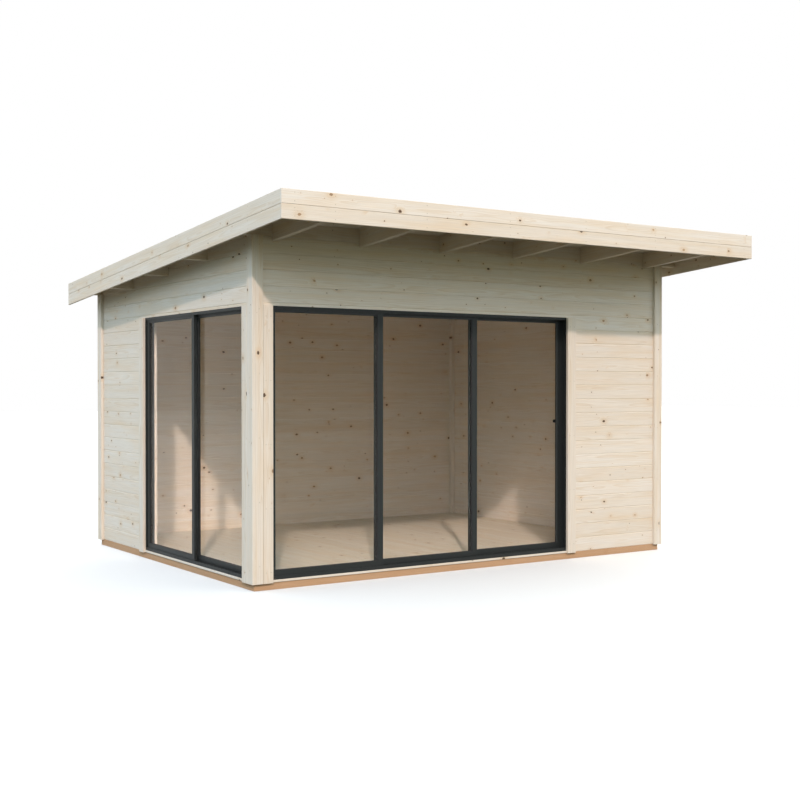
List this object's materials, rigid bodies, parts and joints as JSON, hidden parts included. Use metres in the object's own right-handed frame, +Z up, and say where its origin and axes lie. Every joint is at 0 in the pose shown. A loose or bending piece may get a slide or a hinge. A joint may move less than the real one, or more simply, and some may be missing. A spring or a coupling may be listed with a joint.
{
  "type": "garden room",
  "caption": "Wooden garden room with a single-slope roof, deep front eaves, and sliding glass doors in dark aluminium frames that meet near one front corner.",
  "frame": {"origin": "on the ground, under the middle of the roof's outline; z = 0 is the underside of the foundation beams", "axes": "+X along the front, to the right as seen from outside; +Y from the front to the back; +Z up. The front faces -Y, and its eaves are the high ones"},
  "size_m": [4.596, 4.264, 2.801],
  "materials": {
    "spruce": "planed, unpainted",
    "treated_wood": "sawn, impregnated brown",
    "floor_wood": "planed, unpainted",
    "dark_aluminium": "matt powder coat",
    "glass": "clear, polished",
    "roof_felt": "matt, mineral surface"
  },
  "bodies": {
    "building": {"foundation_front": "treated_wood", "foundation_back": "treated_wood", "foundation_left": "treated_wood", "foundation_right": "treated_wood", "floor_joists": "treated_wood", "floor_boards": "floor_wood", "front_sill_board": "spruce", "left_sill_board": "spruce", "front_left_corner_wall": "spruce", "front_wall_right": "spruce", "front_wall_over_doors": "spruce", "left_wall_back": "spruce", "left_wall_over_doors": "spruce", "back_wall": "spruce", "right_wall": "spruce", "corner_boards_front_left": "spruce", "corner_boards_front_right": "spruce", "corner_boards_back_left": "spruce", "corner_boards_back_right": "spruce", "front_door_trim_left": "spruce", "front_door_trim_right": "spruce", "left_door_trim_front": "spruce", "left_door_trim_back": "spruce", "inner_posts": "spruce", "rafters": "spruce", "lookouts_left": "spruce", "lookouts_right": "spruce", "roof_boards": "spruce", "roof_felt": "roof_felt", "fascia_front": "spruce", "fascia_back": "spruce", "fascia_left": "spruce", "fascia_right": "spruce", "front_door_frame": "dark_aluminium", "left_door_frame": "dark_aluminium", "front_panel_left": "dark_aluminium", "front_panel_left_glass": "glass", "left_panel_back": "dark_aluminium", "left_panel_back_glass": "glass"},
    "front_right_leaf": {"front_panel_right": "dark_aluminium", "front_panel_right_glass": "glass"},
    "front_middle_leaf": {"front_panel_middle": "dark_aluminium", "front_panel_middle_glass": "glass"},
    "left_front_leaf": {"left_panel_front": "dark_aluminium", "left_panel_front_glass": "glass"}
  },
  "joints": [
    {"name": "front_right_slide", "type": "slide", "parent": "building", "child": "front_right_leaf", "axis": [-1, 0, 0], "range_m": [0, 1.892]},
    {"name": "front_middle_slide", "type": "slide", "parent": "building", "child": "front_middle_leaf", "axis": [-1, 0, 0], "range_m": [0, 0.946]},
    {"name": "left_front_slide", "type": "slide", "parent": "building", "child": "left_front_leaf", "axis": [0, 1, 0], "range_m": [0, 0.936]}
  ]
}
